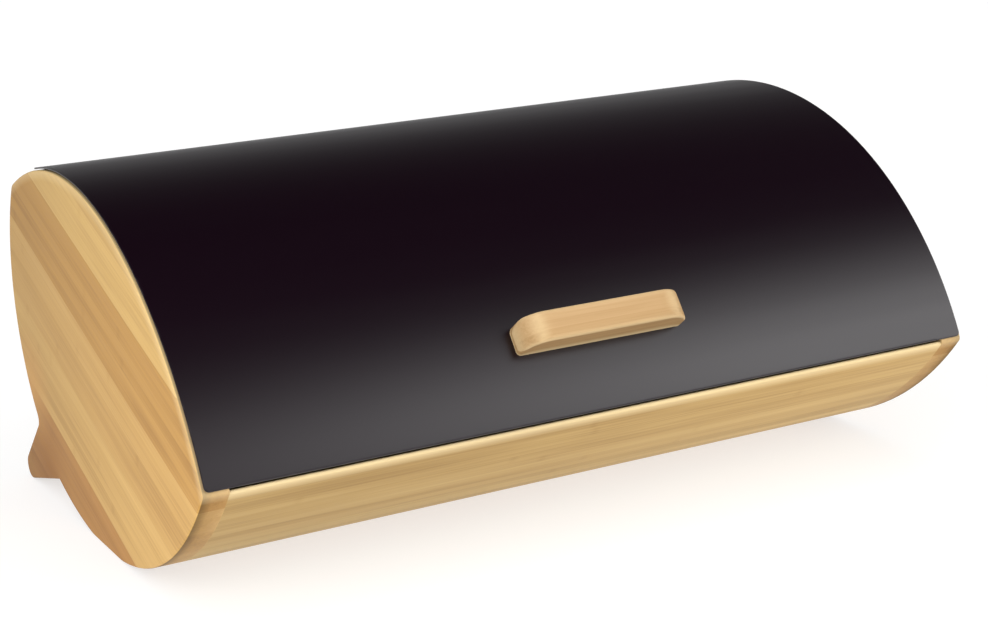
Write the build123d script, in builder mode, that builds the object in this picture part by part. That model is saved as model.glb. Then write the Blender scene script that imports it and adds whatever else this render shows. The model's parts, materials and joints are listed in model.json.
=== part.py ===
from build123d import *
import math
import os

# Bread box with a rolling lid. X runs along the box, the front is -Y, the floor is Z = 0.
# Angles on the lid are measured from straight up, about the roll axis, positive towards the back.

# Overall sizes
length = 395.5
depth = 262.9
panel_thickness = 12.0

# Lid
lid_radius = 180.0
lid_front_height = 67.2
lid_sheet = 0.8
lid_front_angle = -66.0
lid_rear_overlap = 16.0
lid_corner_radius = 2.2
hem_width = 9.0
hem_setback = 4.0
roll_travel = 48.0

# Side panel outline
belly_y = 5.0
belly_lip = 1.15
rest_land = 41.0
land_blend_radius = 40.0
back_radius = 98.0
back_centre_inset = 104.5
back_corner_inset = 23.5
back_corner_radius = 7.0
front_corner_radius = 2.5
panel_edge_round = 1.0
heel_tip_radius = 6.5
heel_underside_angle = 15.5
heel_back_angle = 41.8
heel_underside_length = 60.0
heel_reach = 46.5
heel_root_round = 4.0

# Boards between the panels
rail_thickness = 16.0
rail_end_y = -60.0
rail_edge_round = 1.2
floor_board_z = 15.0
floor_board_thickness = 9.0
back_board_inset = 41.0
back_board_thickness = 9.0
top_rail_thickness = 12.0
top_rail_width = 45.0

# Dowels
dowel_diameter = 6.0
dowel_length = 28.0
dowel_in_panel = 8.0
dowel_hole_extra = 0.5
rail_dowel_spacing = 46.0
rail_dowel_shift = 5.0
rail_dowel_depth = 7.4
floor_dowel_spacing = 55.0
back_dowel_spacing = 40.0
top_dowel_spacing = 20.0

# Lid runners
guide_inset = 12.0
bracket_sheet = 1.5
bracket_angle = -53.25
pin_pitch_angle = 13.5
bracket_margin = 7.0
bracket_leg_width = 20.0
bracket_drop = 7.0
bracket_corner_radius = 3.0
pin_diameter = 4.0
pin_head_diameter = 8.0
pin_head_height = 1.5
pin_end_diameter = 5.6
pin_end_height = 0.8
sleeve_diameter = 7.0
sleeve_engagement = 5.4
groove_depth = 7.0

# Handle
handle_angle = -53.9
handle_length = 86.0
handle_height = 14.0
handle_reach = 14.5
handle_end_radius = 13.2
handle_end_angle = 80.0
handle_upper_corner_radius = 4.0
handle_lower_corner_radius = 2.0
handle_round = 1.5
screw_spacing = 44.0
screw_diameter = 4.0
screw_in_handle = 10.0
screw_head_diameter = 7.5
screw_head_height = 2.8
screw_slot_width = 1.0
screw_slot_depth = 1.2
washer_diameter = 10.0
washer_thickness = 1.0

# Clearances
lid_end_inset = 1.2
lid_rim_gap = 0.5
lid_seat_gap = 0.4
hem_rail_gap = 0.4
dowel_gap = 0.05
bracket_panel_gap = 0.8
sleeve_groove_gap = 0.3
pin_bore_gap = 0.05
screw_hole_gap = 0.25
screw_pilot_gap = 0.05
screw_tip_gap = 0.5
washer_seat_gap = 0.1

# Derived sizes
front_turn = math.radians(lid_front_angle)
roll_axis_y = -depth / 2 - lid_radius * math.sin(front_turn)
roll_axis_z = lid_front_height - lid_radius * math.cos(front_turn)
panel_outer_x = length / 2
lid_half_length = panel_outer_x - lid_end_inset
panel_inner_x = panel_outer_x - panel_thickness
inner_width = 2 * panel_inner_x
lid_inner_radius = lid_radius - lid_sheet
rim_radius = lid_inner_radius - lid_rim_gap
hem_radius = lid_inner_radius - lid_sheet
top_rail_radius = hem_radius - hem_rail_gap
top_rail_inner_radius = top_rail_radius - top_rail_thickness
guide_radius = lid_radius - guide_inset
back_centre_y = depth / 2 - back_centre_inset
back_corner_y = depth / 2 - back_corner_inset
back_corner_z = roll_axis_z + math.sqrt(rim_radius**2 - (back_corner_y - roll_axis_y) ** 2)
back_centre_z = back_corner_z - math.sqrt(back_radius**2 - (back_corner_y - back_centre_y) ** 2)
heel_root_y = depth / 2 - heel_reach
back_board_y = depth / 2 - back_board_inset
back_board_rear_y = back_board_y + back_board_thickness
top_rail_front_y = back_board_rear_y - top_rail_width
lid_rear_y = top_rail_front_y + lid_rear_overlap
lid_rear_angle = math.degrees(math.asin((lid_rear_y - roll_axis_y) / lid_radius))
stop_angle = lid_front_angle - math.degrees(lid_seat_gap / lid_radius)
hem_angle = math.degrees(hem_width / lid_inner_radius)
dowel_in_board = dowel_length - dowel_in_panel
groove_width = sleeve_diameter + 2 * sleeve_groove_gap
bracket_span = pin_pitch_angle + 2 * math.degrees(bracket_margin / guide_radius)
bracket_face_x = panel_inner_x - bracket_panel_gap
bracket_inner_radius = guide_radius - bracket_drop
pin_angles = [bracket_angle - pin_pitch_angle / 2, bracket_angle + pin_pitch_angle / 2]
screw_columns = [-screw_spacing / 2, screw_spacing / 2]
axis_point = (roll_axis_y, roll_axis_z)


def on_roll(radius, angle):
    """Give the (y, z) point at a radius and an angle about the roll axis."""
    turn = math.radians(angle)
    return (roll_axis_y + radius * math.sin(turn), roll_axis_z + radius * math.cos(turn))


def slanted(start, angle, length):
    """Give the (y, z) point that lies a length away along an angle above the -Y direction."""
    turn = math.radians(angle)
    return (start[0] - length * math.cos(turn), start[1] + length * math.sin(turn))


def lines_meet(first, first_along, second, second_along):
    """Give the (y, z) point where two lines, each a point and a direction, cross."""
    cross = first_along[0] * second_along[1] - first_along[1] * second_along[0]
    gap = (second[0] - first[0], second[1] - first[1])
    reach = (gap[0] * second_along[1] - gap[1] * second_along[0]) / cross
    return (first[0] + reach * first_along[0], first[1] + reach * first_along[1])


def roll_sector(plane_x, inner, outer, first_angle, last_angle):
    """Draw the ring sector between two radii and two angles about the roll axis, at plane_x."""
    middle = (first_angle + last_angle) / 2
    with BuildSketch(Plane.YZ.offset(plane_x)) as sector:
        with BuildLine():
            ThreePointArc(on_roll(outer, first_angle), on_roll(outer, middle), on_roll(outer, last_angle))
            Line(on_roll(outer, last_angle), on_roll(inner, last_angle))
            ThreePointArc(on_roll(inner, last_angle), on_roll(inner, middle), on_roll(inner, first_angle))
            Line(on_roll(inner, first_angle), on_roll(outer, first_angle))
        make_face()
    return sector.sketch


def discs(plane_x, points, diameter):
    """Draw one disc at each (y, z) point, at plane_x."""
    with BuildSketch(Plane.YZ.offset(plane_x)) as drawn:
        with Locations(*points):
            Circle(diameter / 2)
    return drawn.sketch


def finish_piece(part, name):
    """Label a finished piece and write its STEP file."""
    part.label = name
    export_step(part, f"parts/{name}.step")


os.makedirs("parts", exist_ok=True)

# The belly circle runs from just outside the lid's front edge to the flat land on the floor
rail_top = on_roll(lid_radius + belly_lip, stop_angle)
belly_reach = rail_top[0] - belly_y
belly_centre_z = (belly_reach**2 + rail_top[1] ** 2 - (rest_land / 2) ** 2) / (2 * rail_top[1])
belly_radius = math.hypot(belly_centre_z, rest_land / 2)
belly_centre = (belly_y, belly_centre_z)

# The front rail's section: a flat inner face, and an outer face on the belly circle
rail_low_z = belly_centre_z - math.sqrt(belly_radius**2 - (rail_end_y - belly_y) ** 2)
rail_low = (rail_end_y, rail_low_z)
rail_chord = math.dist(rail_top, rail_low)
rail_along = ((rail_low[0] - rail_top[0]) / rail_chord, (rail_low[1] - rail_top[1]) / rail_chord)
rail_inward = (-rail_along[1], rail_along[0])
rail_crown = belly_radius - math.sqrt(belly_radius**2 - (rail_chord / 2) ** 2)
rail_edge = rail_thickness - rail_crown


def on_rail(along, inward):
    """Give the (y, z) point at a distance along the rail's chord from its middle, and inwards from it."""
    middle = ((rail_top[0] + rail_low[0]) / 2, (rail_top[1] + rail_low[1]) / 2)
    return tuple(middle[i] + along * rail_along[i] + inward * rail_inward[i] for i in (0, 1))


stop_along = (rail_top[0] - roll_axis_y, rail_top[1] - roll_axis_z)
rail_top_inside = lines_meet(on_rail(0, rail_edge), rail_along, axis_point, stop_along)
rail_low_inside = lines_meet(on_rail(0, rail_edge), rail_along, rail_low, (0, 1))

# Dowel places, one list for each board
steps_of_two = (-0.5, 0.5)
steps_of_three = (-1, 0, 1)
rail_dowel_places = [rail_dowel_shift + step * rail_dowel_spacing for step in steps_of_two]
rail_dowels = [on_rail(place, rail_dowel_depth - rail_crown) for place in rail_dowel_places]
floor_dowel_y = (rail_end_y + back_board_y) / 2
floor_dowel_z = floor_board_z + floor_board_thickness / 2
floor_dowels = [(floor_dowel_y + step * floor_dowel_spacing, floor_dowel_z) for step in steps_of_three]
back_dowel_y = back_board_y + back_board_thickness / 2
back_board_top = roll_axis_z + math.sqrt(top_rail_inner_radius**2 - (back_dowel_y - roll_axis_y) ** 2)
back_dowel_z = (floor_board_z + back_board_top) / 2
back_dowels = [(back_dowel_y, back_dowel_z + step * back_dowel_spacing) for step in steps_of_three]
top_core_radius = top_rail_radius - top_rail_thickness / 2
top_core_y = (top_rail_front_y + back_board_rear_y) / 2
top_core_angle = math.degrees(math.asin((top_core_y - roll_axis_y) / top_core_radius))
top_dowel_angle = math.degrees(top_dowel_spacing / top_core_radius)
top_dowels = [on_roll(top_core_radius, top_core_angle + step * top_dowel_angle) for step in steps_of_two]
all_dowels = rail_dowels + floor_dowels + back_dowels + top_dowels
dowel_hole_diameter = dowel_diameter + 2 * dowel_gap

# Side panels: one outline at each end, with the runner groove and dowel holes on the inner face
heel_centre = (depth / 2 - heel_tip_radius, heel_tip_radius)
heel_under_turn = math.radians(heel_underside_angle)
heel_under = (
    heel_centre[0] - heel_tip_radius * math.sin(heel_under_turn),
    heel_centre[1] - heel_tip_radius * math.cos(heel_under_turn),
)
heel_rear_turn = math.radians(heel_back_angle)
heel_back_length = heel_reach / math.cos(heel_rear_turn)
heel_rear = (
    heel_centre[0] + heel_tip_radius * math.sin(heel_rear_turn),
    heel_centre[1] + heel_tip_radius * math.cos(heel_rear_turn),
)
groove_angles = (pin_angles[0], pin_angles[1] + roll_travel)
groove_end_points = [on_roll(guide_radius, angle) for angle in groove_angles]
groove_inner_radius = guide_radius - groove_width / 2
groove_outer_radius = guide_radius + groove_width / 2


def make_side_panel(side):
    """Make one side panel.

    Args:
        side: -1 for the left end, 1 for the right end.
    """
    with BuildPart() as panel:
        with BuildSketch(Plane.YZ.offset(side * panel_inner_x)) as outline:
            with Locations((back_centre_y, back_centre_z)):
                Circle(back_radius)
            with Locations((heel_root_y, back_centre_z)):
                Rectangle(depth, 2 * belly_radius, align=(Align.MAX, Align.CENTER))
            with Locations(axis_point):
                Circle(rim_radius, mode=Mode.INTERSECT)
            with Locations(belly_centre):
                Circle(belly_radius, mode=Mode.INTERSECT)
            with Locations((0, 0)):
                Rectangle(depth, belly_radius, align=(Align.CENTER, Align.MAX), mode=Mode.SUBTRACT)
            fillet(outline.vertices().sort_by(Axis.X)[0], radius=front_corner_radius)
            fillet(outline.vertices().sort_by(Axis.Y)[0:2], radius=land_blend_radius)
            back_corner = max(outline.vertices(), key=lambda vertex: vertex.X + vertex.Y)
            fillet(back_corner, radius=back_corner_radius)
            with BuildLine():
                Polyline(
                    heel_under,
                    slanted(heel_under, heel_underside_angle, heel_underside_length),
                    slanted(heel_rear, heel_back_angle, heel_back_length),
                    heel_rear,
                    close=True,
                )
            make_face()
            with Locations(heel_centre):
                Circle(heel_tip_radius)
            heel_roots = outline.vertices().sort_by_distance((*heel_centre, 0))[2:4]
            fillet(heel_roots, radius=heel_root_round)
        extrude(amount=side * panel_thickness)
        outer_face = panel.faces().sort_by(Axis.X)[-1 if side > 0 else 0]
        fillet(outer_face.edges(), radius=panel_edge_round)
        groove = roll_sector(side * panel_inner_x, groove_inner_radius, groove_outer_radius, *groove_angles)
        extrude(groove, amount=side * groove_depth, mode=Mode.SUBTRACT)
        groove_ends = discs(side * panel_inner_x, groove_end_points, groove_width)
        extrude(groove_ends, amount=side * groove_depth, mode=Mode.SUBTRACT)
        hole_depth = dowel_in_panel + dowel_hole_extra
        holes = discs(side * panel_inner_x, all_dowels, dowel_hole_diameter)
        extrude(holes, amount=side * hole_depth, mode=Mode.SUBTRACT)
    return panel.part


finish_piece(make_side_panel(-1), "left_side_panel")
finish_piece(make_side_panel(1), "right_side_panel")

# Boards between the panels, each bored at both ends for its dowels
board_hole_depth = dowel_in_board + dowel_hole_extra

with BuildPart() as front_rail:
    with BuildSketch(Plane.YZ.offset(-panel_inner_x)):
        with BuildLine():
            ThreePointArc(rail_top, on_rail(0, -rail_crown), rail_low)
            Polyline(rail_low, rail_low_inside, rail_top_inside, rail_top)
        make_face()
    extrude(amount=inner_width)
    rail_long_edges = front_rail.edges().filter_by(Axis.X)
    fillet(rail_long_edges.sort_by_distance((0, *rail_top))[0], radius=rail_edge_round)
    for side in (-1, 1):
        rail_holes = discs(side * panel_inner_x, rail_dowels, dowel_hole_diameter)
        extrude(rail_holes, amount=-side * board_hole_depth, mode=Mode.SUBTRACT)
finish_piece(front_rail.part, "front_rail")

with BuildPart() as bottom_board:
    with BuildSketch(Plane.YZ.offset(-panel_inner_x)):
        with Locations((rail_end_y, floor_board_z)):
            Rectangle(back_board_y - rail_end_y, floor_board_thickness, align=(Align.MIN, Align.MIN))
    extrude(amount=inner_width)
    for side in (-1, 1):
        floor_holes = discs(side * panel_inner_x, floor_dowels, dowel_hole_diameter)
        extrude(floor_holes, amount=-side * board_hole_depth, mode=Mode.SUBTRACT)
finish_piece(bottom_board.part, "bottom_board")

with BuildPart() as back_board:
    with BuildSketch(Plane.YZ.offset(-panel_inner_x)):
        with Locations((back_board_y, floor_board_z)):
            Rectangle(back_board_thickness, lid_radius, align=(Align.MIN, Align.MIN))
        with Locations(axis_point):
            Circle(top_rail_inner_radius, mode=Mode.INTERSECT)
    extrude(amount=inner_width)
    for side in (-1, 1):
        back_holes = discs(side * panel_inner_x, back_dowels, dowel_hole_diameter)
        extrude(back_holes, amount=-side * board_hole_depth, mode=Mode.SUBTRACT)
finish_piece(back_board.part, "back_board")

with BuildPart() as top_rail:
    with BuildSketch(Plane.YZ.offset(-panel_inner_x)):
        with Locations(axis_point):
            Circle(top_rail_radius)
            Circle(top_rail_inner_radius, mode=Mode.SUBTRACT)
        with Locations((top_rail_front_y, 0)):
            Rectangle(
                back_board_rear_y - top_rail_front_y,
                2 * lid_radius,
                align=(Align.MIN, Align.MIN),
                mode=Mode.INTERSECT,
            )
    extrude(amount=inner_width)
    for side in (-1, 1):
        top_holes = discs(side * panel_inner_x, top_dowels, dowel_hole_diameter)
        extrude(top_holes, amount=-side * board_hole_depth, mode=Mode.SUBTRACT)
finish_piece(top_rail.part, "top_rail")

# Dowels, one group for each board
dowel_groups = {
    "front_rail_dowels": rail_dowels,
    "bottom_board_dowels": floor_dowels,
    "back_board_dowels": back_dowels,
    "top_rail_dowels": top_dowels,
}
for dowel_name, dowel_points in dowel_groups.items():
    with BuildPart() as dowels:
        for side in (-1, 1):
            dowel_discs = discs(side * (panel_inner_x + dowel_in_panel), dowel_points, dowel_diameter)
            extrude(dowel_discs, amount=-side * dowel_length)
    finish_piece(dowels.part, dowel_name)

# Lid: one rolled sheet, with a folded hem inside its front and rear edges
handle_turn = math.radians(handle_angle)
handle_out = (0, math.sin(handle_turn), math.cos(handle_turn))
handle_down = (0, -math.cos(handle_turn), math.sin(handle_turn))
handle_seat = (0, *on_roll(lid_radius, handle_angle))
handle_face = Plane(handle_seat, x_dir=(1, 0, 0), z_dir=handle_out)
handle_section = Plane(handle_seat, x_dir=(1, 0, 0), z_dir=handle_down)
screw_places = [(column, 0) for column in screw_columns]
hem_half_length = panel_inner_x - hem_setback
hem_spans = [
    (lid_front_angle, lid_front_angle + hem_angle),
    (lid_rear_angle - hem_angle, lid_rear_angle),
]

with BuildPart() as lid_shell:
    lid_arc = roll_sector(-lid_half_length, lid_inner_radius, lid_radius, lid_front_angle, lid_rear_angle)
    extrude(lid_arc, amount=2 * lid_half_length)
    corner_edges = lid_shell.edges().filter_by(lambda edge: abs(edge.length - lid_sheet) < lid_sheet / 10)
    fillet(corner_edges, radius=lid_corner_radius)
    for hem_first, hem_last in hem_spans:
        hem = roll_sector(-hem_half_length, hem_radius, lid_inner_radius, hem_first, hem_last)
        extrude(hem, amount=2 * hem_half_length)
    with BuildSketch(handle_face):
        with Locations(*screw_places):
            Circle(screw_diameter / 2 + screw_hole_gap)
    extrude(amount=2 * lid_sheet, both=True, mode=Mode.SUBTRACT)
finish_piece(lid_shell.part, "lid_shell")

# Handle, seated on the lid's round
with BuildPart() as handle_bar:
    end_turn = math.radians(handle_end_angle)
    half_base = handle_length / 2
    half_crest = half_base - handle_end_radius * math.sin(end_turn)
    shoulder = handle_reach - handle_end_radius * (1 - math.cos(end_turn))
    with BuildSketch(handle_section):
        with BuildLine():
            Polyline(
                (half_base, shoulder),
                (half_base, -handle_round),
                (-half_base, -handle_round),
                (-half_base, shoulder),
            )
            TangentArc((-half_crest, handle_reach), (-half_base, shoulder), tangent=(-1, 0))
            Line((-half_crest, handle_reach), (half_crest, handle_reach))
            TangentArc((half_crest, handle_reach), (half_base, shoulder), tangent=(1, 0))
        make_face()
    extrude(amount=handle_height / 2, both=True)
    with BuildSketch(handle_face) as handle_front:
        Rectangle(handle_length, handle_height)
        fillet(handle_front.vertices().group_by(Axis.Y)[-1], radius=handle_upper_corner_radius)
        fillet(handle_front.vertices().group_by(Axis.Y)[0], radius=handle_lower_corner_radius)
    extrude(amount=2 * handle_reach, both=True, mode=Mode.INTERSECT)
    upper_faces = handle_bar.faces().filter_by(lambda face: face.normal_at().dot(Vector(handle_out)) > 0.2)
    outer_edges = upper_faces.edges().filter_by(
        lambda edge: abs(abs(edge.center().X) - half_crest) > handle_round / 10
    )
    fillet(outer_edges, radius=handle_round)
    with BuildSketch(Plane.YZ.offset(-handle_length)):
        with Locations(axis_point):
            Circle(lid_radius)
    extrude(amount=2 * handle_length, mode=Mode.SUBTRACT)
    with BuildSketch(handle_face.offset(-lid_sheet)):
        with Locations(*screw_places):
            Circle(screw_diameter / 2 + screw_pilot_gap)
    extrude(amount=lid_sheet + screw_in_handle + screw_tip_gap, mode=Mode.SUBTRACT)
finish_piece(handle_bar.part, "handle_bar")

# Handle screws and washers, inside the lid
washer_top = -lid_sheet - washer_seat_gap
washer_foot = washer_top - washer_thickness
head_foot = washer_foot - screw_head_height

with BuildPart() as handle_washers:
    with BuildSketch(handle_face.offset(washer_foot)):
        with Locations(*screw_places):
            Circle(washer_diameter / 2)
            Circle(screw_diameter / 2 + screw_hole_gap, mode=Mode.SUBTRACT)
    extrude(amount=washer_thickness)
finish_piece(handle_washers.part, "handle_washers")

with BuildPart() as handle_screws:
    with BuildSketch(handle_face.offset(head_foot)):
        with Locations(*screw_places):
            Circle(screw_head_diameter / 2)
    extrude(amount=screw_head_height)
    with BuildSketch(handle_face.offset(washer_foot)):
        with Locations(*screw_places):
            Circle(screw_diameter / 2)
    extrude(amount=screw_in_handle - washer_foot)
    with BuildSketch(handle_face.offset(head_foot)):
        with Locations(*screw_places):
            Rectangle(screw_head_diameter, screw_slot_width)
    extrude(amount=screw_slot_depth, mode=Mode.SUBTRACT)
finish_piece(handle_screws.part, "handle_screws")

# Runners: a bent bracket inside each end of the lid, with two sleeved pins in the panel's groove
pin_points = [on_roll(guide_radius, angle) for angle in pin_angles]
pin_hole_diameter = pin_diameter + 2 * pin_bore_gap
sleeve_length = bracket_panel_gap + sleeve_engagement
bracket_first_angle = bracket_angle - bracket_span / 2
bracket_last_angle = bracket_angle + bracket_span / 2


def make_runner_bracket(side):
    """Make one bracket: a radial flange beside the panel and a curved leg against the lid."""
    face_x = side * bracket_face_x
    leg_radius = lid_inner_radius - bracket_sheet
    with BuildPart() as bracket:
        flange = roll_sector(
            face_x, bracket_inner_radius, lid_inner_radius, bracket_first_angle, bracket_last_angle
        )
        extrude(flange, amount=-side * bracket_sheet)
        inner_corners = bracket.edges().filter_by(Axis.X).sort_by_distance((face_x, *axis_point))[0:2]
        fillet(inner_corners, radius=bracket_corner_radius)
        leg = roll_sector(face_x, leg_radius, lid_inner_radius, bracket_first_angle, bracket_last_angle)
        extrude(leg, amount=-side * bracket_leg_width)
        extrude(discs(face_x, pin_points, pin_hole_diameter), amount=-side * bracket_sheet, mode=Mode.SUBTRACT)
    return bracket.part


def make_guide_pins(side):
    """Make one bracket's pins: a head inside the flange, a shank, and an end that keeps the sleeve on."""
    flange_x = side * (bracket_face_x - bracket_sheet)
    shank_length = bracket_sheet + sleeve_length
    with BuildPart() as pins:
        extrude(discs(flange_x, pin_points, pin_head_diameter), amount=-side * pin_head_height)
        extrude(discs(flange_x, pin_points, pin_diameter), amount=side * shank_length)
        end_x = flange_x + side * shank_length
        extrude(discs(end_x, pin_points, pin_end_diameter), amount=side * pin_end_height)
    return pins.part


def make_guide_sleeves(side):
    """Make the nylon sleeves on one bracket's pins."""
    face_x = side * bracket_face_x
    with BuildPart() as sleeves:
        extrude(discs(face_x, pin_points, sleeve_diameter), amount=side * sleeve_length)
        extrude(
            discs(face_x, pin_points, pin_hole_diameter), amount=side * sleeve_length, mode=Mode.SUBTRACT
        )
    return sleeves.part


for end_name, side in (("left", -1), ("right", 1)):
    finish_piece(make_runner_bracket(side), f"{end_name}_runner_bracket")
    finish_piece(make_guide_pins(side), f"{end_name}_guide_pins")
    finish_piece(make_guide_sleeves(side), f"{end_name}_guide_sleeves")
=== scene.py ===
"""Looks of a bread box with a rolling lid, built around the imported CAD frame.

The lid sheet and the handle are shown by finer surfaces of the same size as their CAD nodes. Every other
CAD node keeps its shape and gets a finish. Lengths are in metres, the front is -Y and the floor is Z = 0.
"""

import json
import logging
import math
from dataclasses import dataclass
from enum import Enum
from typing import Any

import bmesh
import bpy
import numpy as np
from mathutils import Matrix, Vector


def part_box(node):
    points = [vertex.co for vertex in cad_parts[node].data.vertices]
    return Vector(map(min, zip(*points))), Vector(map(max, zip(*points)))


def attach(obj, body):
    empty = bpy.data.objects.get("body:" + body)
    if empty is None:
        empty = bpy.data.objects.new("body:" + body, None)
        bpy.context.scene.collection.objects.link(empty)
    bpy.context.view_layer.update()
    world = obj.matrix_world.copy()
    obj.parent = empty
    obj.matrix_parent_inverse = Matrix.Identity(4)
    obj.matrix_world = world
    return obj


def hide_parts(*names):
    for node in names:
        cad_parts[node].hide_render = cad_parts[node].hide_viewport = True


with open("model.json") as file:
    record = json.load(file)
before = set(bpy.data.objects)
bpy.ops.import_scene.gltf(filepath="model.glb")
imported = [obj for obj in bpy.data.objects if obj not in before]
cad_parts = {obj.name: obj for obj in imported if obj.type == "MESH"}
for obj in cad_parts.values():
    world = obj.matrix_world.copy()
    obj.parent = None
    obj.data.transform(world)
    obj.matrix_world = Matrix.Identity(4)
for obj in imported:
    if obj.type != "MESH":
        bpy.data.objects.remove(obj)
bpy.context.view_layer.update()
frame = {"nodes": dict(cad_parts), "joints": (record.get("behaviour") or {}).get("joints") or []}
LOG = logging.getLogger("bread_box")
MM = 0.001
# Points nearer than this are one point.
WELD = 1e-7
# Pale bamboo tone of the painted highlights along lit edges.
PAINTED_HIGHLIGHT_TONE = "#F2DDAF"


def linear(hex_colour: str) -> tuple[float, float, float, float]:
    """Turn an sRGB hex colour into linear values.

    Args:
        hex_colour: six hex digits after a hash.
    Returns:
        Red, green, blue and alpha.
    """
    parts = np.array([int(hex_colour[i : i + 2], 16) for i in (1, 3, 5)]) / 255
    flat = np.where(parts <= 0.04045, parts / 12.92, ((parts + 0.055) / 1.055) ** 2.4)
    return (float(flat[0]), float(flat[1]), float(flat[2]), 1.0)


def add_node(
    tree: bpy.types.NodeTree,
    kind: str,
    settings: dict[Any, Any] | None = None,
    links: dict[Any, bpy.types.NodeSocket] | None = None,
) -> bpy.types.Node:
    """Add one node, set its values and wire its inputs.

    Args:
        tree: node tree that gets the node.
        kind: Blender's name for the node type.
        settings: node properties by name, input values by socket name or number, and colour stops.
        links: source sockets by the input socket's name or number.
    Returns:
        The new node.
    """
    node = tree.nodes.new(kind)
    for key, value in (settings or {}).items():
        if key == "stops":
            elements = node.color_ramp.elements
            while len(elements) < len(value):
                elements.new(1.0)
            for element, (place, colour) in zip(elements, value):
                element.position = place
                element.color = colour
        elif key == "stop_mode":
            node.color_ramp.interpolation = value
        elif isinstance(key, str) and hasattr(node, key):
            setattr(node, key, value)
        else:
            node.inputs[key].default_value = value
    for key, source in (links or {}).items():
        tree.links.new(source, node.inputs[key])
    return node


def new_material(name: str) -> tuple[bpy.types.Material, bpy.types.NodeTree, bpy.types.Node]:
    """Start a material with one main shader wired to its output.

    Args:
        name: the real material's name.
    Returns:
        The material, its node tree and its main shader.
    """
    material = bpy.data.materials.new(name)
    material.use_nodes = True
    tree = material.node_tree
    tree.nodes.clear()
    shader = add_node(tree, "ShaderNodeBsdfPrincipled")
    add_node(tree, "ShaderNodeOutputMaterial", links={"Surface": shader.outputs["BSDF"]})
    return material, tree, shader


def wire(
    tree: bpy.types.NodeTree, shader: bpy.types.Node, sources: dict[str, bpy.types.NodeSocket]
) -> None:
    """Link what changes over the surface to the main shader.

    Args:
        tree: the material's node tree.
        shader: its main shader.
        sources: source sockets by the shader socket's name.
    """
    for name, source in sources.items():
        tree.links.new(source, shader.inputs[name])


def repeats(*sizes: float) -> tuple[float, ...]:
    """Turn a pattern's real sizes along each axis into texture scales."""
    return tuple(1 / size for size in sizes)


def make_piece(
    name: str, points: np.ndarray, faces: list[tuple[int, ...]], sharp_deg: float
) -> bpy.types.Object:
    """Make a smooth-shaded mesh object at the origin from points and faces.

    Args:
        name: the piece's name.
        points: an array of shape (count, 3) in the shared frame.
        faces: corner numbers of each face.
        sharp_deg: edges that turn more than this stay sharp.
    Returns:
        The new object, linked to the scene.
    """
    mesh = bpy.data.meshes.new(name)
    mesh.from_pydata(points.tolist(), [], faces)
    shape = bmesh.new()
    shape.from_mesh(mesh)
    bmesh.ops.remove_doubles(shape, verts=shape.verts, dist=WELD)
    bmesh.ops.recalc_face_normals(shape, faces=shape.faces)
    shape.to_mesh(mesh)
    shape.free()
    mesh.polygons.foreach_set("use_smooth", np.ones(len(mesh.polygons), bool))
    mesh.set_sharp_from_angle(angle=math.radians(sharp_deg))
    mesh.update()
    piece = bpy.data.objects.new(name, mesh)
    bpy.context.scene.collection.objects.link(piece)
    return piece


def grid_faces(rows: int, columns: int, start: int = 0, closed: bool = False) -> list[tuple[int, ...]]:
    """Give the quads of a grid of points numbered row by row.

    Args:
        rows: number of rows.
        columns: number of points in a row.
        start: number of the first point.
        closed: whether each row's last point joins its first.
    Returns:
        Four corner numbers for each quad.
    """
    row = np.arange(rows - 1)[:, None] * columns
    first = np.arange(columns if closed else columns - 1)[None, :]
    after = (first + 1) % columns
    quads = np.stack([row + first, row + after, row + columns + after, row + columns + first], axis=-1)
    return [tuple(quad) for quad in (quads.reshape(-1, 4) + start).tolist()]


def point_places(piece: bpy.types.Object) -> np.ndarray:
    """Read where a piece's points lie.

    Args:
        piece: an object at the origin.
    Returns:
        An array of shape (3, count).
    """
    flat = np.zeros(len(piece.data.vertices) * 3, np.float32)
    piece.data.vertices.foreach_get("co", flat)
    return flat.reshape(-1, 3).astype(float).T


def store(piece: bpy.types.Object, name: str, values: np.ndarray) -> None:
    """Keep a value for each of a piece's points, which its finish reads.

    Args:
        piece: the object.
        name: the attribute's name.
        values: one value for each point.
    """
    attribute = piece.data.attributes.new(name, "FLOAT", "POINT")
    attribute.data.foreach_set("value", values.astype(np.float32))


def paint(node: str, material: bpy.types.Material) -> None:
    """Give a CAD node a finish.

    Args:
        node: the CAD node's name.
        material: the finish.
    """
    piece = frame["nodes"][node]
    if not piece.material_slots:
        piece.data.materials.append(material)
    for place in piece.material_slots:
        place.material = material
    LOG.info("%s: %s", node, material.name)


def slope(angle_deg: float) -> tuple[tuple[float, float, float], ...]:
    """Give the grain directions of an upright board whose strips rise towards the back.

    Args:
        angle_deg: slope of the strips above the level.
    Returns:
        The directions along the fibres, across the strips and through the board.
    """
    turn = math.radians(angle_deg)
    return ((0, math.cos(turn), math.sin(turn)), (0, -math.sin(turn), math.cos(turn)), (1, 0, 0))


def tilt(angle_deg: float) -> tuple[tuple[float, float, float], ...]:
    """Give the grain directions of a piece whose strips run along X.

    Args:
        angle_deg: lean of the outer face from straight up towards the back.
    Returns:
        The directions along the fibres, across the strips and through the piece.
    """
    turn = math.radians(angle_deg)
    return ((1, 0, 0), (0, math.cos(turn), -math.sin(turn)), (0, math.sin(turn), math.cos(turn)))


class Grain(Enum):
    """How the strips lie in a piece: along the fibres, across the strips, through the thickness."""

    PANEL = slope(19.5)
    RAIL = tilt(37.95)
    LEVEL = tilt(0)
    UPRIGHT = tilt(-90)
    HANDLE = tilt(-53.2)


@dataclass(frozen=True)
class Mark:
    """A line along X, or a circle about X, round which the wood has another tone.

    A pale mark is a painted highlight along a lit edge, and other marks give the wood a tan or brown tone.
    """

    y: float
    z: float
    reach: float
    strength: float
    radius: float = 0.0
    tone: str = PAINTED_HIGHLIGHT_TONE


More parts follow.
